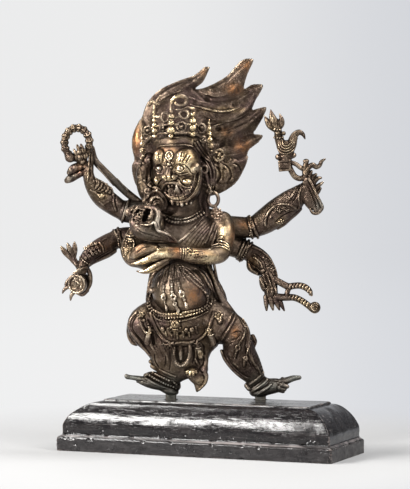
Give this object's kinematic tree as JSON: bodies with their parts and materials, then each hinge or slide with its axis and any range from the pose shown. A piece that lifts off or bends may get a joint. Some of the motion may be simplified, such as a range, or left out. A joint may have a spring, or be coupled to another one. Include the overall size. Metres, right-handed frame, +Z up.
{
  "type": "mahakala figure",
  "caption": "Cast bronze figure of a many-armed wrathful protector with flaming hair, striding on a moulded black wooden plinth.",
  "frame": {"origin": "centre of the plinth's underside", "axes": "+Z up, +X along the plinth towards the figure's straight leg, -Y towards the plinth's front"},
  "size_m": [0.296, 0.1231, 0.3972],
  "materials": {
    "bronze": "cast bronze with a dark purplish-brown patina, rubbed golden on the raised parts, red-brown on the flame and grey-green at the feet",
    "black_wood": "wood painted glossy black, worn along the edges and scuffed dull grey on the right end"
  },
  "bodies": {
    "root": {"figure": "bronze", "plinth": "black_wood"}
  },
  "joints": []
}
